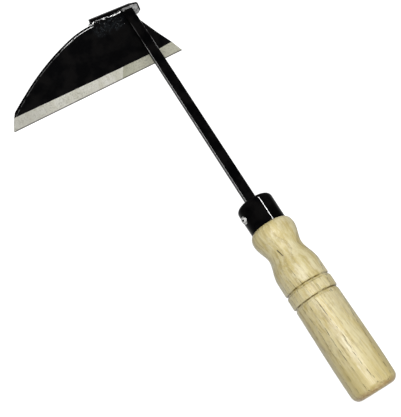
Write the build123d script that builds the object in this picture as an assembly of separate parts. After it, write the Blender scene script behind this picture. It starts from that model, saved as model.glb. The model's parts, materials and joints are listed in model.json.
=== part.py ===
"""Hand sickle hoe: a turned wooden grip, a capped ferrule, a forged neck and a welded half-moon blade.

Everything is drawn in a tool frame first: +Y runs along the grip from the butt face towards the
blade, +X points to the short side of the blade and +Z points up.  The finished tool is then tipped
so that the cutting edge and the lower rim of the butt both touch the floor at Z = 0.
"""
import math
import os

from build123d import *

# ---- driving dimensions, mm and degrees ----
GRIP_DIAMETER = 30.0
GRIP_BUTT_ROUND = 5.0            # radius of the rounded rim at the butt
REAR_GROOVE_Y = 64.2             # the two V-grooves around the grip
FRONT_GROOVE_Y = 73.7
GROOVE_DEPTH = 0.8
GROOVE_HALF_WIDTH = 1.3
BAND_RADIUS = 15.4               # raised band between the grooves
SHOULDER_RADIUS = 15.25          # grip just in front of the grooves
SHOULDER_Y = 83.5                # where the grip starts to fall to its waist
WAIST_Y = 99.4
WAIST_RADIUS = 12.0
BEAD_Y = 112.2
BEAD_RADIUS = 14.95

FERRULE_REAR_Y = 118.4
FERRULE_FRONT_Y = 138.3
FERRULE_REAR_RADIUS = 12.3
FERRULE_FRONT_RADIUS = 12.5
FERRULE_CORNER = 3.4             # rounded shoulder at the front
FERRULE_WALL = 1.3
TENON_GAP = 0.8                  # air between the tenon's end and the ferrule's cap

NECK_WIDTH = 7.4
NECK_THICKNESS = 5.0
NECK_CORNER = 0.7
NECK_OFFSET = -0.45              # the neck leaves the ferrule slightly off centre
NECK_DRIFT = 0.35                # and drifts this many degrees towards the short side
NECK_END_Y = 310.1
FLAT_RUN = 13.0                  # forged flat on the bar's upper left corner, at its end
FLAT_ACROSS = 2.2
FLAT_DOWN = 3.4
TANG_TIP_Y = 68.0
TANG_TIP_WIDTH = 3.2
TANG_TIP_THICKNESS = 2.6

BLADE_ANGLE = 45.0               # between the blade and the grip's axis
BLADE_THICKNESS = 2.0
EDGE_Y = 282.93                  # cutting edge in the tool frame
EDGE_Z = -35.52
EDGE_LEFT_X = -110.2
EDGE_RIGHT_X = 29.2
TIP_ROUND = 0.9                  # rounded point at the long end
HEEL_X = -103.7                  # top of the short cut at the long end
HEEL_HEIGHT = 12.0
BACK_RADIUS = 180.0              # curved back of the blade, from the heel
BACK_BEND_X = -46.5              # where the back bends more tightly towards the weld
BACK_BEND_HEIGHT = 42.3
BACK_BEND_RADIUS = 66.6
FLAT_LEFT_X = -27.0              # straight seat along the back, under the weld
FLAT_LEFT_HEIGHT = 45.4
FLAT_RIGHT_X = 1.0
FLAT_RIGHT_HEIGHT = 44.6
BEVEL_WIDTH = 9.0
EDGE_LAND = 0.12                 # thickness left at the very edge

PLATE_LEFT_X = -26.5             # plate behind the blade's back margin
PLATE_RIGHT_X = 11.2
PLATE_TOP_LEFT = 49.0            # heights above the cutting edge, along the blade
PLATE_TOP_RIGHT = 47.4
PLATE_WIDTH = 8.0
PLATE_THICKNESS = 4.5
PLATE_CORNER_RUN = 5.8           # sloping outer corner at the short side
PLATE_CORNER_DROP = 1.3
PLATE_FOOT_RUN = 2.6             # clipped lower corner at the short side
PLATE_FOOT_RISE = 1.9

WELD_RADIUS = 1.75
WELD_CENTRE_Z = 0.75             # above the blade's rear face
NECK_WELD_HEIGHT = 1.3           # pad of weld on the plate, beside the bar's end
NECK_WELD_TAPER = 35             # degrees, the pad's sloping sides
NECK_WELD_LAP = 1.0              # weld that laps onto the bar
NECK_WELD_MARGIN = 0.5           # plate left showing round the weld

NAIL_Y = 129.2
NAIL_ANGLE = 75.0                # from straight up, round towards the long side
NAIL_SHANK_DIAMETER = 2.2
NAIL_LENGTH = 19.0
NAIL_HEAD_DIAMETER = 5.4
NAIL_HEAD_HEIGHT = 1.9

os.makedirs("parts", exist_ok=True)

GRIP_RADIUS = GRIP_DIAMETER / 2
TENON_RADIUS = FERRULE_REAR_RADIUS - FERRULE_WALL
TENON_END_Y = FERRULE_FRONT_Y - FERRULE_WALL - TENON_GAP
BAR_START_Y = TENON_END_Y + TENON_GAP / 2     # the full section starts just behind the cap


# ---- the grip and its ferrule, both turned about the Y axis ----
def turned(profile):
    """Revolve a closed face drawn in the XY plane about the Y axis."""
    return revolve(profile, axis=Axis.Y, revolution_arc=360)


def grip_blank():
    """The wooden grip before it is bored for the tang and the nail."""
    with BuildSketch() as section:
        with BuildLine():
            Line((0, 0), (GRIP_RADIUS - GRIP_BUTT_ROUND, 0))
            RadiusArc(
                (GRIP_RADIUS - GRIP_BUTT_ROUND, 0),
                (GRIP_RADIUS, GRIP_BUTT_ROUND),
                -GRIP_BUTT_ROUND,
            )
            Polyline(
                (GRIP_RADIUS, GRIP_BUTT_ROUND),
                (GRIP_RADIUS, REAR_GROOVE_Y - GROOVE_HALF_WIDTH),
                (GRIP_RADIUS - GROOVE_DEPTH, REAR_GROOVE_Y),
                (BAND_RADIUS, REAR_GROOVE_Y + GROOVE_HALF_WIDTH),
                (BAND_RADIUS, FRONT_GROOVE_Y - GROOVE_HALF_WIDTH),
                (GRIP_RADIUS - GROOVE_DEPTH, FRONT_GROOVE_Y),
                (SHOULDER_RADIUS, FRONT_GROOVE_Y + GROOVE_HALF_WIDTH),
                (SHOULDER_RADIUS, SHOULDER_Y),
            )
            # a smooth fall to the waist, a smooth rise to the bead, and a short fall to the ferrule
            Spline(
                (SHOULDER_RADIUS, SHOULDER_Y),
                (SHOULDER_RADIUS - 0.85, SHOULDER_Y + 6.2),
                (WAIST_RADIUS, WAIST_Y),
                (BEAD_RADIUS, BEAD_Y),
                (FERRULE_REAR_RADIUS, FERRULE_REAR_Y),
                tangents=((0, 1), (-1, 0.55)),
            )
            Polyline(
                (FERRULE_REAR_RADIUS, FERRULE_REAR_Y),
                (TENON_RADIUS, FERRULE_REAR_Y),
                (TENON_RADIUS, TENON_END_Y - 1.0),
                (TENON_RADIUS - 1.0, TENON_END_Y),
                (0, TENON_END_Y),
                (0, 0),
            )
        make_face()
    return turned(section.sketch)


def ferrule_blank():
    """A deep cap with a rounded front shoulder, before its slot and nail hole are cut."""
    inner_front = FERRULE_FRONT_Y - FERRULE_WALL
    with BuildSketch() as section:
        with BuildLine():
            Line((TENON_RADIUS, FERRULE_REAR_Y), (FERRULE_REAR_RADIUS, FERRULE_REAR_Y))
            Spline(
                (FERRULE_REAR_RADIUS, FERRULE_REAR_Y),
                (FERRULE_REAR_RADIUS + 0.06, FERRULE_REAR_Y + 8.0),
                (FERRULE_FRONT_RADIUS, FERRULE_FRONT_Y - FERRULE_CORNER),
                tangents=((0, 1), (0, 1)),
            )
            RadiusArc(
                (FERRULE_FRONT_RADIUS, FERRULE_FRONT_Y - FERRULE_CORNER),
                (FERRULE_FRONT_RADIUS - FERRULE_CORNER, FERRULE_FRONT_Y),
                -FERRULE_CORNER,
            )
            Polyline(
                (FERRULE_FRONT_RADIUS - FERRULE_CORNER, FERRULE_FRONT_Y),
                (0, FERRULE_FRONT_Y),
                (0, inner_front),
                (TENON_RADIUS - 1.0, inner_front),
                (TENON_RADIUS, inner_front - 1.0),
                (TENON_RADIUS, FERRULE_REAR_Y),
            )
        make_face()
    return turned(section.sketch)


# ---- the blade, drawn on its own rear face: X along the edge, Y up the blade, Z to its front ----
blade_slope = math.radians(BLADE_ANGLE)
blade_plane = Plane(
    origin=(0, EDGE_Y, EDGE_Z),
    x_dir=(1, 0, 0),
    z_dir=(0, -math.sin(blade_slope), math.cos(blade_slope)),
)


def on_blade(height, depth):
    """Tool-frame (Y, Z) of a point at a height up the blade and a depth above its rear face."""
    y = EDGE_Y + height * math.cos(blade_slope) - depth * math.sin(blade_slope)
    z = EDGE_Z + height * math.sin(blade_slope) + depth * math.cos(blade_slope)
    return (y, z)


def make_blade():
    """Half-moon plate with one clipped side and a single bevel ground on its front face."""
    with BuildSketch() as outline:
        with BuildLine():
            Polyline(
                (FLAT_LEFT_X, FLAT_LEFT_HEIGHT),
                (FLAT_RIGHT_X, FLAT_RIGHT_HEIGHT),
                (EDGE_RIGHT_X, 0),
                (EDGE_LEFT_X + TIP_ROUND, 0),
            )
            RadiusArc((EDGE_LEFT_X + TIP_ROUND, 0), (EDGE_LEFT_X, TIP_ROUND), TIP_ROUND)
            Line((EDGE_LEFT_X, TIP_ROUND), (HEEL_X, HEEL_HEIGHT))
            RadiusArc((HEEL_X, HEEL_HEIGHT), (BACK_BEND_X, BACK_BEND_HEIGHT), BACK_RADIUS)
            RadiusArc((BACK_BEND_X, BACK_BEND_HEIGHT), (FLAT_LEFT_X, FLAT_LEFT_HEIGHT), BACK_BEND_RADIUS)
        make_face()
    plate = extrude(outline.sketch, amount=BLADE_THICKNESS)
    top = BLADE_THICKNESS + 1.0
    run = BEVEL_WIDTH * (top - EDGE_LAND) / (BLADE_THICKNESS - EDGE_LAND)
    with BuildSketch(Plane.YZ) as wedge:
        with BuildLine():
            Polyline((0, EDGE_LAND), (run, top), (-1.0, top), (-1.0, EDGE_LAND), (0, EDGE_LAND))
        make_face()
    ground_off = extrude(wedge.sketch, amount=200, both=True)
    return blade_plane.location * (plate - ground_off)


# ---- the neck: a straight bar, cut square, with a tang drawn down at its other end ----
def bar_centre_x(y):
    """Sideways position of the drifting bar's centre line."""
    return NECK_OFFSET + (y - FERRULE_FRONT_Y) * math.tan(math.radians(NECK_DRIFT))


def make_bar():
    """Rounded rectangular bar that stops square, just over the blade's back edge."""
    start = Plane(origin=(0, BAR_START_Y, 0), x_dir=(1, 0, 0), z_dir=(0, 1, 0))
    with BuildSketch(start) as section:
        RectangleRounded(NECK_WIDTH, NECK_THICKNESS, NECK_CORNER)
    bar = extrude(section.sketch, amount=NECK_END_Y - BAR_START_Y)
    return Pos(bar_centre_x(0), 0, 0) * Rot(0, 0, -NECK_DRIFT) * bar


def make_tang():
    """The hidden spike that tapers back into the grip."""
    root_y = BAR_START_Y + 0.6
    root = Plane(origin=(bar_centre_x(root_y), root_y, 0), x_dir=(1, 0, 0), z_dir=(0, 1, 0))
    tip = Plane(origin=(0, TANG_TIP_Y, 0), x_dir=(1, 0, 0), z_dir=(0, 1, 0))
    with BuildSketch(root) as wide:
        Rectangle(NECK_WIDTH - 0.6, NECK_THICKNESS - 0.6)
    with BuildSketch(tip) as narrow:
        Rectangle(TANG_TIP_WIDTH, TANG_TIP_THICKNESS)
    return loft([narrow.sketch.face(), wide.sketch.face()])


def forged_flat():
    """Corner wedge that is forged off the bar's upper left edge near its end."""
    half = NECK_THICKNESS / 2
    left = bar_centre_x(NECK_END_Y) - NECK_WIDTH / 2
    start = Vector(left, NECK_END_Y - FLAT_RUN, half)
    across = Vector(left + FLAT_ACROSS, NECK_END_Y, half)
    down = Vector(left, NECK_END_Y, half - FLAT_DOWN)
    normal = (down - start).cross(across - start).normalized()
    if normal.Z < 0:
        normal = -normal
    cutter = Plane(origin=start, x_dir=across - start, z_dir=normal)
    return cutter.location * Pos(0, 0, 10) * Box(60, 60, 20)


# ---- the plate behind the blade's back margin ----
def plate_height(x):
    """Height of the plate's upper edge, which is not quite parallel to the cutting edge."""
    slope = (PLATE_TOP_RIGHT - PLATE_TOP_LEFT) / (PLATE_RIGHT_X - PLATE_CORNER_RUN - PLATE_LEFT_X)
    return PLATE_TOP_LEFT + slope * (x - PLATE_LEFT_X)


def make_back_plate():
    """Short thick plate across the neck's end, with two clipped corners at the short side."""
    corner_x = PLATE_RIGHT_X - PLATE_CORNER_RUN
    corner_height = plate_height(corner_x)
    right_height = corner_height - PLATE_CORNER_DROP
    right_foot = right_height - PLATE_WIDTH + NECK_WELD_MARGIN
    points = [
        (PLATE_LEFT_X, plate_height(PLATE_LEFT_X)),
        (PLATE_LEFT_X - 0.4, plate_height(PLATE_LEFT_X) - PLATE_WIDTH),
        (PLATE_RIGHT_X - PLATE_FOOT_RUN, right_foot),
        (PLATE_RIGHT_X + 0.2, right_foot + PLATE_FOOT_RISE),
        (PLATE_RIGHT_X, right_height),
        (corner_x, corner_height),
    ]
    with BuildSketch() as outline:
        Polygon(*points, align=None)
    plate = extrude(outline.sketch, amount=-PLATE_THICKNESS)
    return blade_plane.location * plate


def make_neck_weld():
    """Weld metal that runs from the bar's square end and right side down onto the plate."""
    half = NECK_THICKNESS / 2
    centre = bar_centre_x(NECK_END_Y)
    top = plate_height(centre) - NECK_WELD_MARGIN
    lower = top - PLATE_WIDTH + 2 * NECK_WELD_MARGIN
    crown = half - 0.3
    slope_points = [
        (NECK_END_Y - NECK_WELD_LAP, -half + 0.4),
        (NECK_END_Y - NECK_WELD_LAP, crown),
        (NECK_END_Y + 0.2, crown),
        on_blade(top, 0.3),
        on_blade(top, 0),
        on_blade(lower, 0),
        on_blade(lower, BLADE_THICKNESS + 0.5),
    ]
    left = centre - NECK_WIDTH / 2 + NECK_WELD_MARGIN
    side = Plane(origin=(left, 0, 0), x_dir=(0, 1, 0), z_dir=(1, 0, 0))
    with BuildSketch(side) as outline:
        Polygon(*slope_points, align=None)
    behind_end = extrude(outline.sketch, amount=NECK_WIDTH - 0.6)

    right = PLATE_RIGHT_X - 0.7
    right_top = plate_height(right) - PLATE_CORNER_DROP - NECK_WELD_MARGIN
    pad_left = centre + NECK_WIDTH / 2 - NECK_WELD_LAP
    pad_points = [
        (pad_left, top),
        (pad_left, lower + 0.6),
        (right - 2.0, lower + 0.6),
        (right, lower + 2.6),
        (right, right_top),
        (right - 4.6, top),
    ]
    with BuildSketch() as pad_outline:
        Polygon(*pad_points, align=None)
    pad = blade_plane.location * extrude(pad_outline.sketch, amount=NECK_WELD_HEIGHT, taper=NECK_WELD_TAPER)
    return behind_end + pad


def nail_axis():
    """Plane on the grip's axis whose Z points out of the ferrule along the nail."""
    lean = math.radians(NAIL_ANGLE)
    return Plane(
        origin=(0, NAIL_Y, 0),
        x_dir=(0, 1, 0),
        z_dir=(-math.sin(lean), 0, math.cos(lean)),
    )


def nail_shank(surface):
    """Round shank driven in from just under the head's dome, with a short point."""
    radius = NAIL_SHANK_DIAMETER / 2
    point = 2.5
    straight = NAIL_LENGTH - point
    top = surface + NAIL_HEAD_HEIGHT / 2
    shank = Pos(0, 0, top - straight / 2) * Cylinder(radius, straight)
    tip = Pos(0, 0, top - straight - point / 2) * Cone(0.25, radius, point)
    return nail_axis().location * (shank + tip)


def nail_head(surface):
    """Low domed head seated on the ferrule."""
    radius = NAIL_HEAD_DIAMETER / 2
    ball = (radius ** 2 + NAIL_HEAD_HEIGHT ** 2) / (2 * NAIL_HEAD_HEIGHT)
    dome = Pos(0, 0, surface + NAIL_HEAD_HEIGHT - ball) * Sphere(ball)
    keep = Pos(0, 0, surface + NAIL_HEAD_HEIGHT / 2) * Cylinder(radius, NAIL_HEAD_HEIGHT)
    skirt = Pos(0, 0, surface - 0.3) * Cylinder(radius, 0.6)
    return nail_axis().location * ((dome & keep) + skirt)


def make_weld():
    """Bead along the corner between the blade's back edge and the plate behind it."""
    left = FLAT_LEFT_X - 0.4
    right = bar_centre_x(NECK_END_Y) - NECK_WIDTH / 2
    run = right - left
    drop = (FLAT_LEFT_HEIGHT - FLAT_RIGHT_HEIGHT) * run / (FLAT_RIGHT_X - FLAT_LEFT_X)
    length = math.hypot(run, drop)
    turn = math.degrees(math.atan2(-drop, run))
    middle = ((left + right) / 2, FLAT_LEFT_HEIGHT - drop / 2, WELD_CENTRE_Z)
    rod = Location(middle, (0, 0, turn)) * Rot(0, 90, 0) * Cylinder(WELD_RADIUS, length)
    end = Pos(left, FLAT_LEFT_HEIGHT, WELD_CENTRE_Z) * Sphere(WELD_RADIUS)
    return blade_plane.location * (rod + end)


# ---- fit the pieces to one another ----
blade = make_blade()
back_plate = make_back_plate()
neck = make_tang() + (make_bar() - forged_flat() - blade)
neck_weld = make_neck_weld() - neck - blade - back_plate

ferrule_surface = FERRULE_REAR_RADIUS + 0.12
shank = nail_shank(ferrule_surface)
ferrule_solid = ferrule_blank()
ferrule = ferrule_solid - neck - shank
handle = grip_blank() - neck - shank
neck = neck - shank
head = nail_head(ferrule_surface) - ferrule_solid
nail = shank + head
weld = make_weld() - blade - back_plate - neck_weld - neck

# ---- tip the tool onto its cutting edge and the butt's rim, then centre it on the floor ----
rim_y = GRIP_BUTT_ROUND
rim_z = -(GRIP_RADIUS - GRIP_BUTT_ROUND)
reach = math.hypot(EDGE_Y - rim_y, rim_z - EDGE_Z)
rise = math.atan2(rim_z - EDGE_Z, EDGE_Y - rim_y)
floor_angle = math.degrees(rise - math.asin(GRIP_BUTT_ROUND / reach))

pieces = {
    "handle": handle,
    "ferrule": ferrule,
    "ferrule_nail": nail,
    "neck": neck,
    "back_plate": back_plate,
    "blade": blade,
    "weld_bead": weld,
    "neck_weld": neck_weld,
}
tipped = {}
for name, piece in pieces.items():
    tipped[name] = Rot(floor_angle, 0, 0) * piece

box = Compound(children=[Part(solid.wrapped) for solid in tipped.values()]).bounding_box()
shift = Pos(-(box.min.X + box.max.X) / 2, -(box.min.Y + box.max.Y) / 2, -box.min.Z)
for name, piece in tipped.items():
    export_step(shift * piece, f"parts/{name}.step")

butt = shift * Rot(floor_angle, 0, 0)
print("floor angle", round(floor_angle, 4))
print("size", round(box.size.X, 2), round(box.size.Y, 2), round(box.size.Z, 2))
print("butt face centre", [round(value, 3) for value in tuple(butt.position)])
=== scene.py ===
"""Looks for the hand sickle: materials, finer visible pieces, floor, light and camera.

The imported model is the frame, and the scene is in metres.  Blade coordinates, the places named
below and most shader coordinates are in mm.  Pieces that this script makes are drawn in the tool
frame, where +Y runs along the grip from the butt face, +X points to the short side of the blade and
+Z points up, and TOOL carries that frame onto the tipped tool.
"""

import json
import math

import bmesh
import bpy
from mathutils import Matrix, Vector, noise


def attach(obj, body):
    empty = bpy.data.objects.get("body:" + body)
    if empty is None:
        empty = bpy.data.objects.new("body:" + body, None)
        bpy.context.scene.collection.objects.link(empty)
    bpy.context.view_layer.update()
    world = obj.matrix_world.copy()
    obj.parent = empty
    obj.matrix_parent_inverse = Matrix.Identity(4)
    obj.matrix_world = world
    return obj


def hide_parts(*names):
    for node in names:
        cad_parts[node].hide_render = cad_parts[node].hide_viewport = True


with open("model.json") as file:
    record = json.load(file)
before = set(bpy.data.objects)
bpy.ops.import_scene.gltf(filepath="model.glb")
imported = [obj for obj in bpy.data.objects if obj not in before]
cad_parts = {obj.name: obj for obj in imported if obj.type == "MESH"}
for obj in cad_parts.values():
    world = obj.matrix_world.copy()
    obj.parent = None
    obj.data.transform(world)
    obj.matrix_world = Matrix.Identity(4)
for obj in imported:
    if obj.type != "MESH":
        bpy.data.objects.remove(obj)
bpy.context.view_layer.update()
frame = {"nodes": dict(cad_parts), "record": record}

MM = 0.001
nodes = frame["nodes"]
mounts = {mount["name"]: mount for mount in frame["record"]["mounts"]}
BUTT = Vector(mounts["butt_face"]["pos_m"])
OUTWARD = Vector(mounts["butt_face"]["axis"])
TILT = math.atan2(-OUTWARD.z, -OUTWARD.y)
TOOL = Matrix.Translation(BUTT) @ Matrix.Rotation(TILT, 4, "X")
TO_TOOL = TOOL.inverted()

SLOPE = math.radians(45)         # between the blade and the grip's axis
SIN, COS = math.sin(SLOPE), math.cos(SLOPE)

# places in mm along the grip, from the butt face
REAR_GROOVE_WALL_Y = 64.55       # front wall of each groove
FRONT_GROOVE_WALL_Y = 74.05
REAR_GROOVE_LIP_Y = 62.85        # rear lip of each groove
FRONT_GROOVE_LIP_Y = 72.35
CHECK_Y = 97.8                   # middle of the drying check
FERRULE_FRONT_Y = 138.3

# the neck's middle line, in mm and in mm of drift per mm of length
NECK_OFFSET = -0.45
NECK_DRIFT = 0.00611

NAIL_ANGLE = math.radians(75)    # from straight up, round towards the long side
NAIL_DARK_MIDDLE = (129.0, 1.15)        # middle of the nail's dent and painted dark reflection: mm along the grip, and sideways of the nail's axis

# the blade's curved back, as (x, height) in mm up from the cutting edge
HEEL = (-103.7, 12.0)
BACK_BEND = (-46.5, 42.3)
SEAT_LEFT = (-27.0, 45.4)
LONG_BACK_RADIUS = 180.0
BEND_RADIUS = 66.6

# front outline of the back plate's short-side end: three lines, as (height at x = 0, rise per mm)
PLATE_TOP = (47.67, -0.05)
PLATE_SHOULDER = (48.60, -0.224)
PLATE_FOOT = (32.9, 0.68)

HEAT_X = -15.0                   # middle of the scorched patch
HEAT_HEIGHT = 39.8
CREST_HEIGHT = 46.8              # painted highlight line along the bead's crest
PAINTED_SHADE_X = -17.7                  # where the painted shade starts on the bevel
PAINTED_SHADE_LEAN = 0.456               # mm that its border leans per mm of height

SHARP_ANGLE = math.radians(30)   # edges sharper than this are rounded
SOFT_SEGMENTS = 3
PROFILE_CORNER = math.radians(22)


def blade_coords(p):
    """(x, height up the blade, depth) of a tool-frame point, before the origins are taken off."""
    return p.x, p.y * COS + p.z * SIN, -p.y * SIN + p.z * COS


blade_vertices = [blade_coords(TO_TOOL @ v.co) for v in nodes["blade"].data.vertices]
EDGE_ALONG = min(height for _, height, _ in blade_vertices)
REAR_DEPTH = min(depth for _, _, depth in blade_vertices)


def blade_spot(x, height, depth):
    """Tool-frame point of blade coordinates in mm: along the edge, up the blade, above its rear."""
    along = EDGE_ALONG + height * MM
    above = REAR_DEPTH + depth * MM
    return Vector((x * MM, along * COS - above * SIN, along * SIN + above * COS))


# ---------------------------------------------------------------- shader helpers
class Shader:
    """A material's node tree with short calls for the nodes used here."""

    def __init__(self, name):
        self.material = bpy.data.materials.new(name)
        self.material.use_nodes = True
        self.tree = self.material.node_tree
        self.bsdf = self.tree.nodes["Principled BSDF"]
        self.coords = self.tree.nodes.new("ShaderNodeTexCoord").outputs["Object"]

    def node(self, kind, **values):
        made = self.tree.nodes.new(kind)
        for key, value in values.items():
            setattr(made, key, value)
        return made

    def link(self, source, target):
        if isinstance(source, (int, float, tuple)):
            target.default_value = source
        else:
            self.tree.links.new(source, target)

    def mapped(self, scale, rotation=(0, 0, 0), location=(0, 0, 0), source=None):
        mapping = self.node("ShaderNodeMapping")
        self.link(source or self.coords, mapping.inputs["Vector"])
        mapping.inputs["Scale"].default_value = scale
        mapping.inputs["Rotation"].default_value = rotation
        mapping.inputs["Location"].default_value = location
        return mapping.outputs["Vector"]

    def noise(self, vector, scale=1.0, detail=3.0, rough=0.5, distort=0.0):
        made = self.node("ShaderNodeTexNoise")
        self.link(vector, made.inputs["Vector"])
        made.inputs["Scale"].default_value = scale
        made.inputs["Detail"].default_value = detail
        made.inputs["Roughness"].default_value = rough
        made.inputs["Distortion"].default_value = distort
        return made.outputs["Fac"]

    def math(self, operation, a, b=0.0, clamp=False):
        made = self.node("ShaderNodeMath", operation=operation, use_clamp=clamp)
        self.link(a, made.inputs[0])
        self.link(b, made.inputs[1])
        return made.outputs[0]

    def ramp(self, value, low, high, to_low=0.0, to_high=1.0):
        made = self.node("ShaderNodeMapRange", clamp=True)
        made.interpolation_type = "SMOOTHSTEP"
        self.link(value, made.inputs["Value"])
        made.inputs["From Min"].default_value = low
        made.inputs["From Max"].default_value = high
        made.inputs["To Min"].default_value = to_low
        made.inputs["To Max"].default_value = to_high
        return made.outputs["Result"]

    def mix(self, factor, a, b):
        made = self.node("ShaderNodeMix", data_type="RGBA")
        self.link(factor, made.inputs["Factor"])
        self.link(a, made.inputs["A"])
        self.link(b, made.inputs["B"])
        return made.outputs["Result"]

    def split(self, vector=None):
        made = self.node("ShaderNodeSeparateXYZ")
        self.link(vector or self.coords, made.inputs[0])
        return made.outputs

    def bump(self, height, distance, strength=1.0):
        made = self.node("ShaderNodeBump")
        made.inputs["Distance"].default_value = distance
        made.inputs["Strength"].default_value = strength
        self.link(height, made.inputs["Height"])
        return made.outputs["Normal"]

    def set(self, **sockets):
        for name, value in sockets.items():
            self.link(value, self.bsdf.inputs[name.replace("_", " ")])
        return self.material


def rgb(r, g, b):
    return (r, g, b, 1.0)


def tool_mm(shader):
    """Tool-frame coordinates in millimetres; every piece's object sits at the row's origin."""
    back = Matrix.Rotation(-TILT, 4, "X")
    shift = -(back @ BUTT) / MM
    return shader.mapped((1 / MM,) * 3, (-TILT, 0, 0), tuple(shift))


def up_blade(s, mm):
    """Height up the blade and depth above its rear face, in mm, from tool-frame coordinates."""
    x, y, z = s.split(mm)
    along = s.math("ADD", s.math("MULTIPLY", y, COS), s.math("MULTIPLY", z, SIN))
    above = s.math("SUBTRACT", s.math("MULTIPLY", z, COS), s.math("MULTIPLY", y, SIN))
    height = s.math("SUBTRACT", along, EDGE_ALONG / MM)
    return x, height, s.math("SUBTRACT", above, REAR_DEPTH / MM)


# ---------------------------------------------------------------- materials
def varnished_wood():
    """Pale turned wood: growth rings cut by the turning, soft streaks, short pores, clear varnish. It has a
    painted sheen and painted shade in the grooves.
    """
    s = Shader("varnished_wood")
    mm = tool_mm(s)
    straight_x, y, z = s.split(mm)
    # the grain runs a few degrees off the grip's axis
    grain = s.node("ShaderNodeCombineXYZ")
    s.link(s.math("ADD", straight_x, s.math("MULTIPLY", y, 0.10)), grain.inputs[0])
    s.link(y, grain.inputs[1])
    s.link(z, grain.inputs[2])
    grain = grain.outputs[0]
    x = s.split(grain)[0]
    warp = s.noise(s.mapped((0.035, 0.008, 0.035), source=grain), 1.0, 1.0)
    pith = s.node("ShaderNodeCombineXYZ")
    s.link(s.math("ADD", x, s.math("MULTIPLY", warp, 26.0)), pith.inputs[0])
    s.link(s.math("ADD", z, 40.0), pith.inputs[2])
    ring = s.node("ShaderNodeVectorMath", operation="LENGTH")
    s.link(pith.outputs[0], ring.inputs[0])
    wobble = s.noise(s.mapped((0.25, 0.03, 0.25), source=grain), 1.0, 3.0)
    distance = s.math("ADD", ring.outputs["Value"], s.math("MULTIPLY", wobble, 2.0))
    season = s.math("FRACT", s.math("MULTIPLY", distance, 0.26))
    late = s.math("MULTIPLY", s.ramp(season, 0.35, 0.92), s.ramp(season, 1.0, 0.94))
    early = s.math("MULTIPLY", s.ramp(season, 0.90, 0.97), s.ramp(season, 1.0, 0.97))
    fibre = s.noise(s.mapped((0.85, 0.045, 0.85), source=grain), 1.0, 5.0, 0.75)
    fleck = s.noise(s.mapped((1.0, 0.20, 1.0), source=grain), 1.0, 4.0, 0.75)
    streak = s.noise(s.mapped((0.30, 0.020, 0.30), source=grain), 1.0, 3.0, 0.6)
    cloud = s.noise(s.mapped((0.15, 0.06, 0.15), source=grain), 1.0, 3.0, 0.6)
    pore_field = s.noise(s.mapped((2.4, 0.22, 2.4), source=grain), 1.0, 1.0, 0.5)
    pores = s.math("MULTIPLY", s.ramp(pore_field, 0.50, 0.58), s.ramp(early, 0.10, 0.50))

    pale = rgb(0.785, 0.685, 0.370)
    straw = rgb(0.690, 0.570, 0.245)
    olive = rgb(0.560, 0.460, 0.160)
    brown = rgb(0.330, 0.230, 0.095)
    dark = rgb(0.110, 0.070, 0.018)
    tone = s.mix(s.ramp(streak, 0.38, 0.62), pale, straw)
    tone = s.mix(s.ramp(cloud, 0.52, 0.70, 0.0, 0.45), tone, olive)
    tone = s.mix(s.math("MULTIPLY", late, 0.26), tone, brown)
    plain = s.ramp(y, 62.0, 92.0, 1.0, 0.32)
    tone = s.mix(s.math("MULTIPLY", s.ramp(fibre, 0.51, 0.66, 0.0, 0.62), plain), tone, brown)
    tone = s.mix(s.ramp(fibre, 0.46, 0.36, 0.0, 0.55), tone, rgb(0.86, 0.79, 0.54))
    tone = s.mix(s.ramp(fleck, 0.44, 0.34, 0.0, 0.50), tone, rgb(0.86, 0.80, 0.58))
    tone = s.mix(s.math("MULTIPLY", s.ramp(fleck, 0.57, 0.67, 0.0, 0.48), plain), tone, brown)
    # painted sheen: whitish mottled highlights, stronger towards the grip's front
    mottle = s.noise(s.mapped((0.16, 0.075, 0.16), location=(3.1, 7.7, 1.3), source=mm), 1.0, 4.0, 0.62)
    painted_sheen = s.math("MULTIPLY", s.ramp(mottle, 0.48, 0.62), s.ramp(y, 20.0, 80.0, 0.22, 0.48))
    tone = s.mix(painted_sheen, tone, rgb(0.92, 0.85, 0.59))
    tone = s.mix(s.ramp(y, 30.0, 8.0, 0.0, 0.50), tone, straw)
    sparse = s.ramp(y, 78.0, 90.0, 0.95, 0.25)
    tone = s.mix(s.math("MULTIPLY", pores, sparse), tone, dark)

    def near(axis, centre, reach):
        return s.ramp(s.math("ABSOLUTE", s.math("SUBTRACT", axis, centre)), reach, reach * 0.35)

    broken = s.noise(s.mapped((0.5, 0.9, 0.5), source=mm), 1.0, 3.0, 0.6)
    # painted shade: the grooves' walls, and in patches their rear lips, painted dark brown
    groove_shade = s.math("ADD", near(y, REAR_GROOVE_WALL_Y, 0.60), near(y, FRONT_GROOVE_WALL_Y, 0.60), clamp=True)
    groove_shade_breaks = s.noise(s.mapped((0.22, 0.5, 0.22), source=mm), 1.0, 4.0, 0.65)
    groove_shade = s.math("MULTIPLY", groove_shade, s.ramp(groove_shade_breaks, 0.40, 0.55, 0.35, 1.0))
    lip = s.math("ADD", near(y, REAR_GROOVE_LIP_Y, 0.42), near(y, FRONT_GROOVE_LIP_Y, 0.42), clamp=True)
    groove_shade = s.math("ADD", groove_shade, s.math("MULTIPLY", lip, s.ramp(groove_shade_breaks, 0.52, 0.40, 0.0, 0.45)), clamp=True)
    tone = s.mix(groove_shade, tone, rgb(0.150, 0.100, 0.014))
    rim = s.math("MULTIPLY", s.ramp(y, 4.2, 0.6), s.ramp(broken, 0.36, 0.60, 0.20, 0.80))
    axis = s.node("ShaderNodeCombineXYZ")
    s.link(straight_x, axis.inputs[0])
    s.link(z, axis.inputs[2])
    outward = s.node("ShaderNodeVectorMath", operation="LENGTH")
    s.link(axis.outputs[0], outward.inputs[0])
    rim = s.math("MULTIPLY", rim, s.ramp(outward.outputs["Value"], 10.0, 13.0))
    tone = s.mix(rim, tone, rgb(0.42, 0.22, 0.07))

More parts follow.
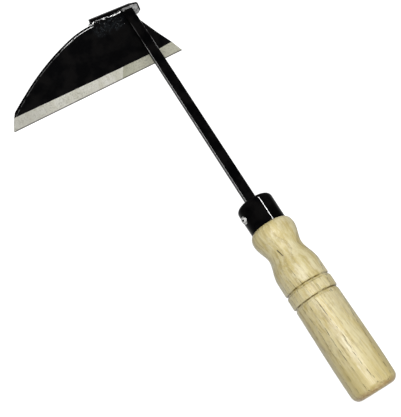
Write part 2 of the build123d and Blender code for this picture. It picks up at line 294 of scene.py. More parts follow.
    # one short drying check on the slope behind the bead
    along = s.ramp(s.math("ABSOLUTE", s.math("SUBTRACT", y, CHECK_Y)), 3.4, 2.0)
    line = s.math("ADD", s.math("MULTIPLY", y, 0.179), s.math("SUBTRACT", straight_x, 11.32))
    ragged = s.math("MULTIPLY", s.math("SUBTRACT", broken, 0.5), 0.8)
    across = s.ramp(s.math("ABSOLUTE", s.math("ADD", line, ragged)), 0.36, 0.14)
    check = s.math("MULTIPLY", s.math("MULTIPLY", along, across), s.ramp(z, 6.0, 8.0))
    tone = s.mix(s.math("MULTIPLY", check, 0.9), tone, rgb(0.05, 0.03, 0.015))

    turning = s.noise(s.mapped((0.03, 3.0, 0.03), source=mm), 1.0, 2.0)
    relief = s.math("ADD", s.math("MULTIPLY", fibre, 0.8), s.math("MULTIPLY", turning, 0.12))
    relief = s.math("ADD", relief, s.math("MULTIPLY", fleck, 0.9))
    relief = s.math("SUBTRACT", relief, s.math("MULTIPLY", pores, 0.8))
    relief = s.math("SUBTRACT", relief, s.math("MULTIPLY", check, 2.2))
    normal = s.bump(relief, 0.00014, 0.5)
    gloss = s.ramp(fibre, 0.35, 0.75, 0.34, 0.50)
    return s.set(
        Base_Color=tone,
        Roughness=gloss,
        Normal=normal,
        Coat_Normal=s.bump(relief, 0.00016, 0.6),
        Coat_Weight=0.4,
        Coat_Roughness=0.30,
        Specular_IOR_Level=0.35,
    )


def black_finish(name, roughness, lumps, bare=None, gloss=0.07, tint=None):
    """Black lacquer over steel, with faint lumps and dust; bare(s, mm) adds bare metal and painted
    highlights.
    """
    s = Shader(name)
    mm = tool_mm(s)
    broad = s.noise(s.mapped((0.09,) * 3, source=mm), 1.0, 3.0, 0.55)
    fine = s.noise(s.mapped((1.3,) * 3, source=mm), 1.0, 4.0, 0.6)
    grit = s.noise(s.mapped((4.0,) * 3, source=mm), 1.0, 2.0, 0.7)
    colour = s.mix(s.ramp(broad, 0.40, 0.62), rgb(0.0016, 0.0016, 0.0019), rgb(0.0050, 0.0046, 0.0046))
    speck = s.ramp(grit, 0.70, 0.78, 0.0, 0.30)
    colour = s.mix(speck, colour, rgb(0.05, 0.052, 0.055))
    if tint is not None:
        amount, shade = tint(s, mm)
        colour = s.mix(amount, colour, shade)
    rough = s.ramp(fine, 0.3, 0.75, roughness * 0.8, roughness * 1.35)
    height = s.math("ADD", s.math("MULTIPLY", broad, lumps), s.math("MULTIPLY", fine, lumps * 0.22))
    normal = s.bump(height, 0.0006, 0.5)
    metallic = 0.0
    if bare is not None:
        # bare paints bare metal, and on some pieces painted highlights
        mask, steel, steel_rough, metal = bare(s, mm)
        colour = s.mix(mask, colour, steel)
        rough = s.math("ADD", s.math("MULTIPLY", mask, steel_rough),
                       s.math("MULTIPLY", s.math("SUBTRACT", 1.0, mask), rough))
        metallic = s.math("MULTIPLY", mask, metal)
    return s.set(
        Base_Color=colour,
        Roughness=rough,
        Metallic=metallic,
        Normal=normal,
        Specular_IOR_Level=gloss,
    )


def heat_tint(s, mm):
    """Blue-grey blotches on the blade's front where the welding scorched it."""
    x, height, depth = up_blade(s, mm)
    near_x = s.ramp(s.math("ABSOLUTE", s.math("SUBTRACT", x, HEAT_X)), 15.0, 6.0)
    near_h = s.ramp(s.math("ABSOLUTE", s.math("SUBTRACT", height, HEAT_HEIGHT)), 6.5, 2.5)
    blotch = s.noise(s.mapped((0.34, 0.34, 0.34), source=mm), 1.0, 5.0, 0.72, 1.2)
    amount = s.math("MULTIPLY", s.math("MULTIPLY", near_x, near_h), s.ramp(blotch, 0.44, 0.60))
    amount = s.math("MULTIPLY", amount, s.ramp(depth, 1.0, 1.5))
    smear = s.noise(s.mapped((0.5, 0.5, 0.5), source=mm), 1.0, 4.0, 0.7, 2.0)
    return amount, s.mix(s.ramp(smear, 0.50, 0.64), rgb(0.008, 0.010, 0.012), rgb(0.060, 0.068, 0.074))


def bare_steel(s, mm):
    """Dull ground steel, streaked by the wheel."""
    scratch = s.noise(s.mapped((0.5, 2.0, 0.5), source=mm), 1.0, 4.0, 0.7)
    return s.mix(s.ramp(scratch, 0.38, 0.62), rgb(0.25, 0.25, 0.245), rgb(0.58, 0.58, 0.57))


def inside_plate(s, x, height):
    """1 well inside the front outline of the back plate's short-side end, 0 at its black rim.

    The second value shifts slowly across the whole tool, so each border is smooth.
    """
    shift = s.noise(s.mapped((0.9,) * 3), 1.0, 3.0, 0.6)
    top, shoulder, foot = (
        s.math("ADD", s.math("MULTIPLY", x, rise), start)
        for start, rise in (PLATE_TOP, PLATE_SHOULDER, PLATE_FOOT)
    )
    mask = s.ramp(s.math("SUBTRACT", s.math("MINIMUM", top, shoulder), height), 0.65, 1.05)
    mask = s.math("MULTIPLY", mask, s.ramp(s.math("SUBTRACT", height, foot), 0.2, 0.6))
    return s.math("MULTIPLY", mask, s.ramp(x, 10.3, 9.8)), shift


def bare_corner(s, mm):
    """The front of the back plate's short-side end, ground bright inside a black outline."""
    x, height, depth = up_blade(s, mm)
    inside, shift = inside_plate(s, x, height)
    place = s.math("ADD", x, s.math("MULTIPLY", s.math("SUBTRACT", shift, 0.5), 3.0))
    mask = s.math("MULTIPLY", inside, s.ramp(place, -0.6, 0.8))
    mask = s.math("MULTIPLY", mask, s.ramp(depth, -0.45, -0.2))
    return mask, bare_steel(s, mm), 0.5, 0.35


def bare_pad(s, mm):
    """The weld beside the neck: ground bright where it lies flat, black round its foot."""
    x, height, depth = up_blade(s, mm)
    inside, shift = inside_plate(s, x, height)
    uneven = s.math("MULTIPLY", s.math("SUBTRACT", shift, 0.5), 3.0)
    place = s.math("ADD", x, uneven)
    low = s.math("ADD", depth, s.math("MULTIPLY", uneven, 0.2))
    mask = s.math("MULTIPLY", s.ramp(place, -1.6, 0.4), s.ramp(low, 0.10, 0.40))
    climb = s.math("SUBTRACT", s.math("MULTIPLY", x, 0.38), height)
    trail = s.math("ABSOLUTE", s.math("ADD", climb, s.math("ADD", 47.1, s.math("MULTIPLY", uneven, 0.5))))
    mask = s.math("MULTIPLY", s.math("MAXIMUM", mask, s.ramp(trail, 0.6, 0.35)), inside)
    return mask, bare_steel(s, mm), 0.48, 0.35


def bead_highlights_and_metal(s, mm):
    """Painted highlights on the bead: a thin broken near-white line along its crest beside the plate, partly
    bare weld metal, with specks and splash patches.
    """
    x, height, depth = up_blade(s, mm)
    # painted highlight: a broken near-white line along the crest, partly bare weld metal
    ragged = s.noise(s.mapped((0.45, 0.45, 0.45), source=mm), 1.0, 4.0, 0.65)
    uneven = s.math("MULTIPLY", s.math("SUBTRACT", ragged, 0.5), 5.0)
    fall = s.math("MULTIPLY", s.ramp(x, -22.0, -8.0), 1.5)
    start = s.math("MULTIPLY", s.ramp(x, -23.5, -27.5), 1.3)
    line = s.math("ADD", s.math("ADD", height, fall), s.math("ADD", start, uneven))
    reach = s.ramp(x, -13.0, -6.0, 0.28, 0.62)
    off = s.math("DIVIDE", s.math("ABSOLUTE", s.math("SUBTRACT", line, CREST_HEIGHT)), reach)
    broken = s.noise(s.mapped((1.5, 1.5, 1.5), source=mm), 1.0, 4.0, 0.7)
    whole = s.math("MAXIMUM", s.ramp(broken, 0.43, 0.47), s.ramp(x, -22.5, -24.5))
    mask = s.math("MULTIPLY", s.ramp(off, 1.0, 0.8), whole)
    mask = s.math("MULTIPLY", mask, s.ramp(height, 44.3, 44.9))
    # painted highlights: near-white specks over the bead and patches on the splashes
    highlight_specks = s.noise(s.mapped((2.2, 2.2, 2.2), source=mm), 1.0, 2.0, 0.6)
    mask = s.math("MAXIMUM", mask, s.ramp(highlight_specks, 0.66, 0.70, 0.0, 0.55))
    splash = s.math("MULTIPLY", s.ramp(depth, 2.15, 2.40), s.ramp(height, 43.4, 43.0))
    mask = s.math("MAXIMUM", mask, s.math("MULTIPLY", splash, s.ramp(highlight_specks, 0.45, 0.62, 0.0, 0.35)))
    return mask, s.mix(broken, rgb(0.88, 0.88, 0.87), rgb(1.0, 1.0, 0.99)), 0.35, 0.1


def arc_centre(start, end, radius):
    """Centre of an arc that bulges up between two points, as (x, height)."""
    chord = Vector(end) - Vector(start)
    middle = (Vector(end) + Vector(start)) / 2
    inward = Vector((chord.y, -chord.x)).normalized()
    return middle + inward * math.sqrt(radius ** 2 - (chord.length / 2) ** 2)


def back_edge_highlight(s, mm):
    """Painted highlight along the front corner of the blade's curved back, beside the weld."""
    x, height, depth = up_blade(s, mm)

    def below_arc(start, end, radius):
        centre = arc_centre(start, end, radius)
        spoke = s.node("ShaderNodeCombineXYZ")
        s.link(s.math("SUBTRACT", x, centre.x), spoke.inputs[0])
        s.link(s.math("SUBTRACT", height, centre.y), spoke.inputs[1])
        reach = s.node("ShaderNodeVectorMath", operation="LENGTH")
        s.link(spoke.outputs[0], reach.inputs[0])
        return s.math("SUBTRACT", radius, reach.outputs["Value"])

    long_arc = below_arc(HEEL, BACK_BEND, LONG_BACK_RADIUS)
    bend = below_arc(BACK_BEND, SEAT_LEFT, BEND_RADIUS)
    beyond = s.ramp(x, BACK_BEND[0] - 0.3, BACK_BEND[0] + 0.3)
    below = s.math("ADD", long_arc, s.math("MULTIPLY", beyond, s.math("SUBTRACT", bend, long_arc)))
    # painted highlight: a near-white line just inside the back's rounded front corner
    rim = s.math("MULTIPLY", s.ramp(below, 1.56, 1.44), s.ramp(depth, 1.6, 1.7))
    rim = s.math("MULTIPLY", rim, s.ramp(below, 1.02, 1.12))
    place = s.math("MULTIPLY", s.ramp(x, -62.0, -44.0, 0.10, 1.0), s.ramp(x, -25.8, -26.8))
    patchy = s.noise(s.mapped((0.5,) * 3, source=mm), 1.0, 3.0, 0.6)
    whole = s.math("MAXIMUM", s.ramp(patchy, 0.38, 0.52), s.ramp(x, -34.5, -32.5))
    mask = s.math("MULTIPLY", s.math("MULTIPLY", rim, place), whole)
    return mask, rgb(0.95, 0.95, 0.94), 0.4, 0.0


def neck_edge_highlights(s, mm):
    """Painted highlights along the neck's long upper edges, in patches.

    The left one is painted mostly until it nears the blade, and the right one mostly from there on.
    """
    x, y, z = s.split(mm)
    drift = s.math("MULTIPLY", s.math("SUBTRACT", y, FERRULE_FRONT_Y), NECK_DRIFT)
    drift = s.math("ADD", drift, NECK_OFFSET)
    side = s.math("SUBTRACT", x, drift)
    patchy = s.noise(s.mapped((0.9, 0.10, 0.9), source=mm), 1.0, 3.0, 0.6)
    # painted highlight: a pale line along each upper edge of the neck
    high = s.ramp(z, 2.0, 2.2)
    left = s.math("MULTIPLY", s.ramp(side, -3.27, -3.47), s.ramp(y, 281.0, 268.0, 0.15, 1.0))
    right = s.math("MULTIPLY", s.ramp(side, 3.27, 3.45), s.ramp(y, 266.0, 274.0, 0.10, 1.0))
    left = s.math("MULTIPLY", left, s.ramp(side, -3.69, -3.62))
    mask = s.math("MULTIPLY", s.math("MAXIMUM", left, right), high)
    mask = s.math("MULTIPLY", mask, s.ramp(patchy, 0.30, 0.52))
    mask = s.math("MULTIPLY", mask, s.ramp(y, 300.0, 294.0))
    return mask, rgb(0.62, 0.62, 0.61), 0.35, 0.3


def ground_steel():
    """The bevel: bare steel with grinding lines that run down to the edge, a mottled patina, and painted
    shade beside the neck.
    """
    s = Shader("ground_steel")
    mm = tool_mm(s)
    lines = s.noise(s.mapped((3.0, 0.25, 0.25), source=mm), 1.0, 4.0, 0.65)
    soft = s.noise(s.mapped((0.22, 0.12, 0.12), source=mm), 1.0, 3.0, 0.5)
    spots = s.noise(s.mapped((0.8,) * 3, source=mm), 1.0, 5.0, 0.75)
    colour = s.mix(s.ramp(soft, 0.35, 0.65), rgb(1.0, 0.99, 0.90), rgb(0.86, 0.84, 0.72))
    x, height, _ = up_blade(s, mm)
    # the bevel is darker, and its patina stronger, towards the heel
    toward_neck = s.ramp(x, -62.0, -30.0)
    colour = s.mix(s.ramp(toward_neck, 0.0, 1.0, 0.22, 0.0), colour, rgb(0.62, 0.61, 0.53))
    strength = s.math("SUBTRACT", 0.55, s.math("MULTIPLY", toward_neck, 0.30))
    patina = s.math("MULTIPLY", s.ramp(spots, 0.50, 0.62), strength)
    colour = s.mix(patina, colour, rgb(0.42, 0.40, 0.31))
    colour = s.mix(s.ramp(lines, 0.55, 0.68, 0.0, 0.35), colour, rgb(0.40, 0.39, 0.31))
    colour = s.mix(s.ramp(x, -70.0, -96.0, 0.0, 0.42), colour, rgb(0.50, 0.49, 0.42))
    # painted shade: the bevel darker from a leaning border towards the short side, darkest in the first 13
    # mm past it
    lean = s.math("MULTIPLY", s.math("SUBTRACT", BEVEL + 0.1, height), PAINTED_SHADE_LEAN)
    past = s.math("ADD", s.math("SUBTRACT", x, PAINTED_SHADE_X), lean)
    painted_shade = s.mix(s.ramp(past, 1.0, 13.0), rgb(0.54, 0.54, 0.40), rgb(0.62, 0.61, 0.48))
    painted_shade = s.mix(s.ramp(spots, 0.48, 0.62, 0.0, 0.5), painted_shade, rgb(0.26, 0.25, 0.17))
    colour = s.mix(s.ramp(past, -0.35, 0.35, 0.0, 0.85), colour, painted_shade)
    rim = s.ramp(height, 1.10, 0.55, 0.0, 0.85)
    colour = s.mix(rim, colour, rgb(0.05, 0.05, 0.045))
    rough = s.ramp(lines, 0.3, 0.7, 0.30, 0.42)
    normal = s.bump(s.math("ADD", lines, s.math("MULTIPLY", spots, 0.6)), 0.00009, 0.6)
    return s.set(Base_Color=colour, Roughness=rough, Metallic=0.35, Normal=normal)


def nail_steel():
    """Bright plated nail, painted near-white partly as its highlight, with a dented middle painted dark as a
    reflection, a painted shade ring round the dome, and a few pits.
    """
    s = Shader("nail_steel")
    mm = tool_mm(s)
    x, y, z = s.split(mm)
    across = s.math("MULTIPLY", x, math.cos(NAIL_ANGLE))
    side = s.math("ADD", across, s.math("MULTIPLY", z, math.sin(NAIL_ANGLE)))
    spot = s.node("ShaderNodeCombineXYZ")
    s.link(s.math("SUBTRACT", y, NAIL_DARK_MIDDLE[0]), spot.inputs[0])
    s.link(s.math("SUBTRACT", side, NAIL_DARK_MIDDLE[1]), spot.inputs[1])
    length = s.node("ShaderNodeVectorMath", operation="LENGTH")
    s.link(spot.outputs[0], length.inputs[0])
    off = length.outputs["Value"]
    # painted dark reflection in the dented middle of the dome, and painted shade in a ring round it
    dent_and_dark_reflection = s.ramp(off, 0.88, 0.62)
    fine = s.noise(s.mapped((1.1,) * 3, source=mm), 1.0, 3.0, 0.55)
    pits = s.noise(s.mapped((3.0,) * 3, source=mm), 1.0, 2.0, 0.6)
    band = s.math("MULTIPLY", s.ramp(off, 1.62, 1.78), s.ramp(off, 2.2, 2.0))
    band = s.math("MULTIPLY", band, s.ramp(fine, 0.40, 0.52, 0.35, 1.0))
    shade = s.math("MAXIMUM", dent_and_dark_reflection, band)
    colour = s.mix(s.ramp(fine, 0.4, 0.7), rgb(0.95, 0.95, 0.93), rgb(0.80, 0.79, 0.76))
    colour = s.mix(s.ramp(pits, 0.66, 0.74, 0.0, 0.4), colour, rgb(0.20, 0.17, 0.14))
    colour = s.mix(shade, colour, rgb(0.012, 0.012, 0.011))
    normal = s.bump(s.math("SUBTRACT", fine, s.math("MULTIPLY", shade, 2.0)), 0.00010, 0.4)
    rough = s.ramp(fine, 0.3, 0.7, 0.16, 0.26)
    metallic = s.ramp(shade, 0.0, 1.0, 0.25, 0.0)
    return s.set(Base_Color=colour, Roughness=rough, Metallic=metallic, Normal=normal)


# ---------------------------------------------------------------- mesh helpers
def make_piece(name, mesh_builder, materials, *stands_for):
    """Build a mesh in the tool frame, tip it, let it ride on the root and stand for CAD nodes."""
    mesh = bpy.data.meshes.new(name)
    bm = bmesh.new()
    mesh_builder(bm)
    bm.transform(TOOL)
    bm.normal_update()
    bm.to_mesh(mesh)
    bm.free()
    for polygon in mesh.polygons:
        polygon.use_smooth = True
    for material in materials:
        mesh.materials.append(material)
    piece = bpy.data.objects.new(name, mesh)
    bpy.context.scene.collection.objects.link(piece)
    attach(piece, "root")
    if stands_for:
        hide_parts(*stands_for)
    return piece


def grid_faces(bm, rows, closed):
    """Quads between successive rows of vertices."""
    made = []
    for lower, upper in zip(rows, rows[1:]):
        count = len(lower)
        for i in range(count if closed else count - 1):
            j = (i + 1) % count
            made.append(bm.faces.new((lower[i], lower[j], upper[j], upper[i])))
    return made


def soften(piece, width):
    """Round the sharp edges of a piece."""
    joined = piece.modifiers.new("joined", "WELD")
    joined.merge_threshold = 0.001 * MM
    bevel = piece.modifiers.new("soft_edges", "BEVEL")
    bevel.width = width
    bevel.segments = SOFT_SEGMENTS
    bevel.limit_method = "ANGLE"
    bevel.angle_limit = SHARP_ANGLE
    bevel.harden_normals = True


def dress(node, material, soft=0.0):
    """A CAD node that stays: give it its material and, if asked, rounded edges."""
    piece = nodes[node]
    piece.data.materials.clear()
    piece.data.materials.append(material)
    if soft:
        soften(piece, soft)
    return piece


# ---------------------------------------------------------------- the grip
def outer_rings(node, first_y, last_y, least_radius):
    """(y, radius) of the turned outside of a CAD node, read from its own rings of vertices."""
    rings = {}
    for vertex in nodes[node].data.vertices:
        p = TO_TOOL @ vertex.co
        radius = math.hypot(p.x, p.z)
        if radius > least_radius and first_y <= p.y <= last_y:
            key = round(p.y / (0.02 * MM))
            rings[key] = max(rings.get(key, (0, 0)), (radius, p.y))
    return [(y, radius) for radius, y in (rings[key] for key in sorted(rings))]


def smooth_profile(points, step):
    """Cubic curve through the rings that keeps the profile's corners sharp."""
    secants = [(r1 - r0) / (y1 - y0) for (y0, r0), (y1, r1) in zip(points, points[1:])]
    result = [points[0]]
    for i, ((y0, r0), (y1, r1)) in enumerate(zip(points, points[1:])):
        slopes = []
        for j in (i - 1, i + 1):
            slope = secants[i]
            if 0 <= j < len(secants) and abs(math.atan(secants[j]) - math.atan(slope)) < PROFILE_CORNER:
                slope = math.tan((math.atan(secants[j]) + math.atan(slope)) / 2)
            slopes.append(slope)
        width = y1 - y0
        count = max(1, math.ceil(math.dist((y0, r0), (y1, r1)) / step))
        for k in range(1, count + 1):
            t = k / count
            rise = (1 + 2 * t) * (1 - t) ** 2 * r0 + t * t * (3 - 2 * t) * r1
            rise += width * t * (1 - t) * (slopes[0] * (1 - t) - slopes[1] * t)
            result.append((y0 + width * t, rise))
    return result


def grip_mesh(bm):
    """The turned grip, with the slight unevenness of a hand-sanded surface."""
    ferrule_rear = min((TO_TOOL @ v.co).y for v in nodes["ferrule"].data.vertices)
    rings = outer_rings("handle", -0.01 * MM, ferrule_rear + 0.01 * MM, 9 * MM)
    profile = smooth_profile(rings, 0.45 * MM)
    columns = 160
    rows = []
    for y, radius in profile:
        row = []
        for i in range(columns):
            turn = 2 * math.pi * i / columns
            spot = Vector((math.sin(turn) * 0.6, y / (14 * MM), math.cos(turn) * 0.6))
            out = radius - 0.05 * MM * (0.5 + 0.5 * noise.noise(spot * 1.7))
            row.append(bm.verts.new((out * math.sin(turn), y, out * math.cos(turn))))
        rows.append(row)
    grid_faces(bm, rows, closed=True)
    bm.faces.new(list(reversed(rows[0])))
    bm.faces.new(rows[-1])
    bmesh.ops.recalc_face_normals(bm, faces=bm.faces)


# ---------------------------------------------------------------- the blade
THICK = 2.0                      # mm, as everything in blade coordinates
LAND = 0.12                      # thickness left at the very edge
BEVEL = 9.0
CREASE = 0.14                    # half the width of the worn corner above the bevel
EDGE_ROUND = 0.42


def bevel_wave(x):
    """How far the hand-ground top of the bevel strays up from its nominal height, at x."""
    ends = 1.15 * (abs(x - 0.5) / 100.0) ** 1.6
    right = 1.0 / (1.0 + math.exp(-(x - 14.0) / 3.0))
    return ends + right * 0.9 - 0.2 + 0.10 * noise.noise(Vector((x / 9.0, 3.1, 0.0)))


def front_depth(height):
    """Nominal front of the blade: the bevel, a small worn corner, then the flat face."""
    if height >= BEVEL + CREASE:
        return THICK
    slope = (THICK - LAND) / BEVEL
    return min(LAND + slope * height, THICK - slope * CREASE * 0.4)


def blade_outline(step):
    """The blade's outline in mm, read from the rear face of the CAD blade and divided finely."""
    corners = set()
    for x, along, depth in blade_vertices:
        if depth - REAR_DEPTH < 0.01 * MM:
            corners.add((round(x / MM, 3), round((along - EDGE_ALONG) / MM, 3)))
    centre_x = sum(x for x, _ in corners) / len(corners)
    centre_h = sum(h for _, h in corners) / len(corners)
    ordered = sorted(corners, key=lambda c: math.atan2(c[1] - centre_h, c[0] - centre_x))
    outline = []
    for a, b in zip(ordered, ordered[1:] + ordered[:1]):
        count = max(1, math.ceil(math.dist(a, b) / step))
        for i in range(count):
            outline.append((a[0] + (b[0] - a[0]) * i / count, a[1] + (b[1] - a[1]) * i / count))
    return outline


def inset_point(before, here, after, distance):
    """A point of a counter-clockwise outline moved inwards by a distance, mitred at corners."""
    first = Vector(here) - Vector(before)
    second = Vector(after) - Vector(here)
    first = Vector((-first.y, first.x)).normalized()
    second = Vector((-second.y, second.x)).normalized()
    middle = (first + second).normalized()
    return Vector(here) + middle * (distance / max(0.35, middle.dot(first)))


def cut_grid(bm, face, xs, heights):
    """Cut one flat polygon into a grid and return its faces."""
    faces = {face}
    for axis, values in ((Vector((0, 1, 0)), heights), (Vector((1, 0, 0)), xs)):
        for value in values:
            geometry = list(faces)
            geometry += {edge for f in faces for edge in f.edges}
            geometry += {vert for f in faces for vert in f.verts}
            cut = bmesh.ops.bisect_plane(bm, geom=geometry, plane_co=axis * value, plane_no=axis, dist=1e-5)
            faces = {g for g in cut["geom"] if isinstance(g, bmesh.types.BMFace)}
    return faces


def stepped(first, last, step):
    """Evenly spaced values from first to last, about a step apart."""
    count = max(1, round((last - first) / step))
    return [first + (last - first) * i / count for i in range(count + 1)]


def blade_mesh(bm):
    """The blade with rounded edges, a hand-ground bevel and heat-roughened lacquer under the weld."""
    outline = blade_outline(1.4)
    total = len(outline)
    quarter = 4
    rings = []
    for front in (False, True):
        for k in range(quarter + 1):
            angle = math.pi / 2 * (k if not front else quarter - k) / quarter
            ring = []
            for i, here in enumerate(outline):
                local = front_depth(here[1])
                radius = min(EDGE_ROUND, 0.42 * local)
                inset = radius * (1 - math.sin(angle))
                spot = inset_point(outline[i - 1], here, outline[(i + 1) % total], inset)
                drop = radius * (1 - math.cos(angle))
                depth = front_depth(spot.y) - drop if front else drop
                ring.append(bm.verts.new((spot.x, spot.y, depth)))
            rings.append(ring)
    strips = grid_faces(bm, rings, closed=True)
    rear = bm.faces.new(list(reversed(rings[0])))
    front = bm.faces.new(rings[-1])
    xs = stepped(-108.0, 28.0, 1.1) + stepped(-33.45, -3.25, 1.1)
    heights = stepped(0.9, BEVEL - 1.0, 0.9) + [BEVEL - CREASE, BEVEL + CREASE]
    heights += stepped(BEVEL + 1.0, 44.3, 1.1) + stepped(BEVEL + 18.55, 43.7, 1.1)
    cut_grid(bm, rear, stepped(-108.0, 28.0, 4.0), stepped(4.0, 42.0, 4.0))
    front_faces = cut_grid(bm, front, sorted(xs), sorted(heights))

    for face in list(strips) + list(front_faces):
        if not face.is_valid:
            continue
        middle = face.calc_center_median()
        if middle.y < BEVEL and (face in front_faces or middle.z > 0.5 * front_depth(middle.y)):
            face.material_index = 1
        elif face not in front_faces:
            face.material_index = 2
    fronts = {vert for face in front_faces for vert in face.verts}
    for vert in bm.verts:
        x, height, depth = vert.co
        if vert in fronts:
            depth = front_depth(height)
        if height > BEVEL:
            spread = max(0.0, 1.0 - (height - BEVEL) / 12.0)
        else:
            spread = max(0.0, height / BEVEL)
        if height > BEVEL + CREASE and vert in fronts:
            ease = min(1.0, (height - BEVEL - CREASE) / 3.0)
            depth -= ease * 0.05 * (1 + noise.noise(Vector((x / 16, height / 16, 0.7))))
            hot = math.exp(-(((x - HEAT_X) / 13) ** 2 + ((height - HEAT_HEIGHT - 0.5) / 5.0) ** 2))
            rough = noise.turbulence(Vector((x / 2.6, height / 2.6, 5.3)), 3, False)
            depth += hot * 0.34 * (rough - 0.15)
        height += bevel_wave(x) * spread
        vert.co = blade_spot(x, height, depth)
    bmesh.ops.recalc_face_normals(bm, faces=bm.faces)


# ---------------------------------------------------------------- the welds
def bead_mesh(bm):
    """Rippled bead laid along the blade's back edge, thinner where it starts, with a few splashes."""
    along = sorted(blade_coords(TO_TOOL @ v.co) for v in nodes["weld_bead"].data.vertices)
    left = along[0][0] / MM + 0.15
    right = along[-1][0] / MM - 0.1
    count = 150
    columns = 28
    rows = []
    for k in range(count + 1):
        t = k / count
        x = left + (right - left) * t
        cap = min(1.0, (x - left) / 1.6, (right - x) / 0.7)
        cap = math.sqrt(max(0.004, 1 - (1 - cap) ** 2))
        wander = 0.16 * noise.noise(Vector((x / 4.0, 8.8, 0.0)))
        centre = 45.35 - 0.0286 * (x + 27.0) + wander
        row = []
        for i in range(columns):
            turn = 2 * math.pi * i / columns
            stray = 0.5 * noise.noise(Vector((x / 5.0, 1.2, 0.0)))
            phase = (x - left) / 1.55 + 0.32 * math.cos(turn) + stray
            ripple = abs(math.sin(math.pi * phase))
            lump = noise.noise(Vector((x / 1.9, 1.3 * math.cos(turn), 1.3 * math.sin(turn))))
            radius = 1.75 * cap * (0.80 + 0.11 * ripple + 0.16 * lump)
            row.append(bm.verts.new((x, centre + radius * math.cos(turn), 0.75 + radius * math.sin(turn))))
        rows.append(row)
    grid_faces(bm, rows, closed=True)
    bm.faces.new(list(reversed(rows[0])))
    bm.faces.new(rows[-1])
    splashes = ((-5.6, 39.9, 0.55), (-4.3, 36.8, 0.42), (-11.3, 41.7, 0.40), (-18.2, 42.7, 0.50),
                (-9.3, 38.8, 0.34), (-21.5, 41.4, 0.30), (-14.6, 39.8, 0.28), (-7.4, 42.0, 0.36))
    for x, height, radius in splashes:
        made = bmesh.ops.create_icosphere(bm, subdivisions=2, radius=radius)
        for vert in made["verts"]:
            wobble = 1 + 0.16 * noise.noise(vert.co * 2.3 + Vector((x, height, 0)))
            flattened = Vector((vert.co.x, vert.co.y, vert.co.z * 0.75))
            vert.co = Vector((x, height, THICK + 0.05)) + flattened * wobble
    for vert in bm.verts:
        vert.co = blade_spot(*vert.co)
    bmesh.ops.recalc_face_normals(bm, faces=bm.faces)


def lumpy_copy(name, node, material, voxel, swell):
    """A CAD solid remeshed, relaxed and roughened like run weld metal, as a piece of its own."""
    mesh = nodes[node].data.copy()
    mesh.name = name
    mesh.materials.clear()
    mesh.materials.append(material)
    piece = bpy.data.objects.new(name, mesh)
    bpy.context.scene.collection.objects.link(piece)
    remesh = piece.modifiers.new("remesh", "REMESH")
    remesh.mode = "VOXEL"
    remesh.voxel_size = voxel
    relax = piece.modifiers.new("relax", "SMOOTH")
    relax.factor = 0.5
    relax.iterations = 5
    shape = bpy.data.meshes.new_from_object(piece.evaluated_get(bpy.context.evaluated_depsgraph_get()))
    piece.modifiers.clear()
    piece.data = shape
    normals = [vertex.normal.copy() for vertex in shape.vertices]
    for vertex, normal in zip(shape.vertices, normals):
        spot = TO_TOOL @ vertex.co / MM
        lump = noise.noise(spot / 2.2) * 0.7 + noise.noise(spot / 0.9) * 0.3
        vertex.co += normal * swell * lump
    for polygon in shape.polygons:
        polygon.use_smooth = True
    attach(piece, "root")
    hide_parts(node)
    return piece


grip = make_piece("grip", grip_mesh, [varnished_wood()], "handle")
blade_lacquer = black_finish("blade_lacquer", 0.34, 0.5, back_edge_highlight, tint=heat_tint)
blade_rim = black_finish("blade_rim_lacquer", 0.60, 0.5, gloss=0.01)
blade = make_piece("blade_body", blade_mesh, [blade_lacquer, ground_steel(), blade_rim], "blade")
bead = make_piece("bead", bead_mesh, [black_finish("bead_lacquer_and_highlights", 0.22, 0.5, bead_highlights_and_metal)], "weld_bead")
run_weld_finish = black_finish("run_weld_finish", 0.25, 0.5, bare_pad)
run_weld = lumpy_copy("run_weld", "neck_weld", run_weld_finish, 0.32 * MM, 0.16 * MM)

ferrule = dress("ferrule", black_finish("ferrule_lacquer", 0.06, 0.03, gloss=0.06))
nail = dress("ferrule_nail", nail_steel())
dress("neck", black_finish("neck_lacquer", 0.20, 0.4, neck_edge_highlights, gloss=0.02), 0.28 * MM)
dress("back_plate", black_finish("plate_lacquer", 0.30, 0.6, bare_corner), 0.35 * MM)


# ---------------------------------------------------------------- floor, light and camera
def add_floor():
    """Floor that glows nearly white, and is hidden from diffuse and glossy rays.

    The tool leaves no shadow in the camera's own view, and a trace of one in lower views.
    """
    mesh = bpy.data.meshes.new("floor")
    half = 6.0
    drop = -0.0002
    corners = [(-half, -half, drop), (half, -half, drop), (half, half, drop), (-half, half, drop)]
    mesh.from_pydata(corners, [], [(0, 1, 2, 3)])
    s = Shader("floor_paint")
    s.set(Base_Color=rgb(0.36, 0.36, 0.36), Roughness=0.9, Specular_IOR_Level=0.1,
          Emission_Color=rgb(1.0, 1.0, 1.0), Emission_Strength=0.95)
    mesh.materials.append(s.material)
    floor = bpy.data.objects.new("floor", mesh)
    floor.visible_glossy = False
    floor.visible_diffuse = False
    bpy.context.scene.collection.objects.link(floor)


def add_area(name, toward, distance, width, length, watts, glossy=True, only_on=()):
    """Area light in a tool-frame direction from the middle of the tool; its length runs with the grip.

    Without glossy, it is hidden from glossy rays.  With only_on, it is hidden from diffuse rays and
    linked to those pieces alone.
    """
    direction = Vector(toward).normalized()
    along = Vector((0, 1, 0))
    along = (along - direction * along.dot(direction)).normalized()
    across = along.cross(direction)
    turn = Matrix((across, along, direction)).transposed().to_4x4()
    data = bpy.data.lights.new(name, "AREA")
    data.energy = watts
    data.shape = "RECTANGLE"
    data.size = width
    data.size_y = length
    lamp = bpy.data.objects.new(name, data)
    middle = Vector((-0.03, 0.17, 0.0))
    lamp.matrix_world = TOOL @ Matrix.Translation(middle + direction * distance) @ turn
    lamp.visible_glossy = glossy
    if only_on:
        lit = bpy.data.collections.new(name + "_receivers")
        for piece in only_on:
            lit.objects.link(piece)
        lamp.light_linking.receiver_collection = lit
        lamp.visible_diffuse = False
    bpy.context.scene.collection.objects.link(lamp)


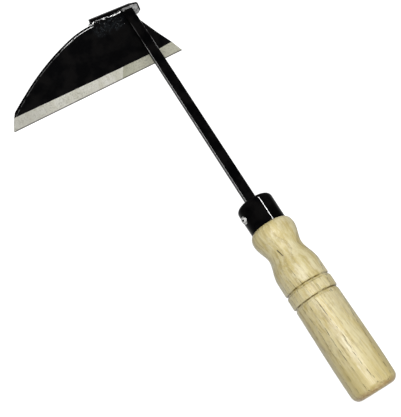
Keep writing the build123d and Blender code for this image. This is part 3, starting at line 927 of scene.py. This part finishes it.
def add_world():
    """A grey room, pale below and dark above, with a pale band on the horizon past the grip's end.

    The camera's own rays see plain white instead, and all others see the room.
    """
    world = bpy.data.worlds.new("studio")
    world.use_nodes = True
    tree = world.node_tree
    nodes_of = tree.nodes
    room = nodes_of["Background"]
    place = nodes_of.new("ShaderNodeTexCoord")
    split = nodes_of.new("ShaderNodeSeparateXYZ")
    tree.links.new(place.outputs["Generated"], split.inputs[0])

    def bands(stops):
        """Grey level by height above the horizon."""
        level = nodes_of.new("ShaderNodeMapRange")
        level.inputs["From Min"].default_value = -1.0
        level.inputs["From Max"].default_value = 1.0
        ramp = nodes_of.new("ShaderNodeValToRGB")
        elements = ramp.color_ramp.elements
        for index, (height, value) in enumerate(stops):
            position = (height + 1) / 2
            element = elements[index] if index < 2 else elements.new(position)
            element.position = position
            element.color = rgb(value, value, value)
        tree.links.new(split.outputs["Z"], level.inputs["Value"])
        tree.links.new(level.outputs["Result"], ramp.inputs["Fac"])
        return ramp.outputs["Color"]

    sides = bands(((-0.95, 1.0), (-0.60, 0.50), (-0.30, 0.22), (-0.12, 0.10), (0.30, 0.06), (0.90, 0.05)))
    grip_end = bands(((-0.95, 1.0), (-0.60, 0.50), (-0.22, 0.45), (-0.10, 0.68), (0.16, 0.68), (0.36, 0.06)))
    toward_grip_end = nodes_of.new("ShaderNodeMapRange")
    toward_grip_end.inputs["From Min"].default_value = -0.55
    toward_grip_end.inputs["From Max"].default_value = -0.85
    mixed = nodes_of.new("ShaderNodeMix")
    mixed.data_type = "RGBA"
    tree.links.new(split.outputs["Y"], toward_grip_end.inputs["Value"])
    tree.links.new(toward_grip_end.outputs["Result"], mixed.inputs["Factor"])
    tree.links.new(sides, mixed.inputs["A"])
    tree.links.new(grip_end, mixed.inputs["B"])
    tree.links.new(mixed.outputs["Result"], room.inputs["Color"])
    backdrop = nodes_of.new("ShaderNodeBackground")
    backdrop.inputs["Color"].default_value = rgb(1.0, 1.0, 1.0)
    seen = nodes_of.new("ShaderNodeLightPath")
    choice = nodes_of.new("ShaderNodeMixShader")
    tree.links.new(seen.outputs["Is Camera Ray"], choice.inputs["Fac"])
    tree.links.new(room.outputs["Background"], choice.inputs[1])
    tree.links.new(backdrop.outputs["Background"], choice.inputs[2])
    tree.links.new(choice.outputs["Shader"], nodes_of["World Output"].inputs["Surface"])
    bpy.context.scene.world = world


def add_camera():
    """The camera looks down on the tool from its left, slightly rolled."""
    spot = Vector((-0.12117, -0.00625, 0.44487))
    target = Vector((-0.0312, 0.1514, 0.0))
    top = Vector((0.46659, 0.79975, 0.37776))
    back = (spot - target).normalized()
    right = top.cross(back).normalized()
    up = back.cross(right)
    turn = Matrix((right, up, back)).transposed().to_4x4()
    data = bpy.data.cameras.new("camera")
    data.sensor_width = 36.0
    data.lens = 64.75
    data.clip_start = 0.01
    camera = bpy.data.objects.new("camera", data)
    camera.matrix_world = TOOL @ Matrix.Translation(spot) @ turn
    bpy.context.scene.collection.objects.link(camera)
    bpy.context.scene.camera = camera


# directions in the tool frame, from the tool's middle to each light
OVERHEAD = (-0.17, -0.10, 0.98)
SHORT_SIDE_FRONT = (0.52, 0.32, 0.80)
SHORT_SIDE = (0.75, 0.10, 0.66)

bpy.context.scene.view_settings.view_transform = "Standard"
add_floor()
add_world()
add_area("key", OVERHEAD, 1.2, 0.6, 0.6, 12.5, glossy=False)
add_area("sheen", OVERHEAD, 1.2, 0.6, 0.6, 10.0, only_on=(grip, blade, bead, run_weld))
add_area("strip", SHORT_SIDE_FRONT, 0.9, 0.04, 0.5, 24.0, only_on=(ferrule, nail, bead))
add_area("fill", SHORT_SIDE, 1.2, 0.6, 0.6, 3.0, glossy=False)
add_camera()
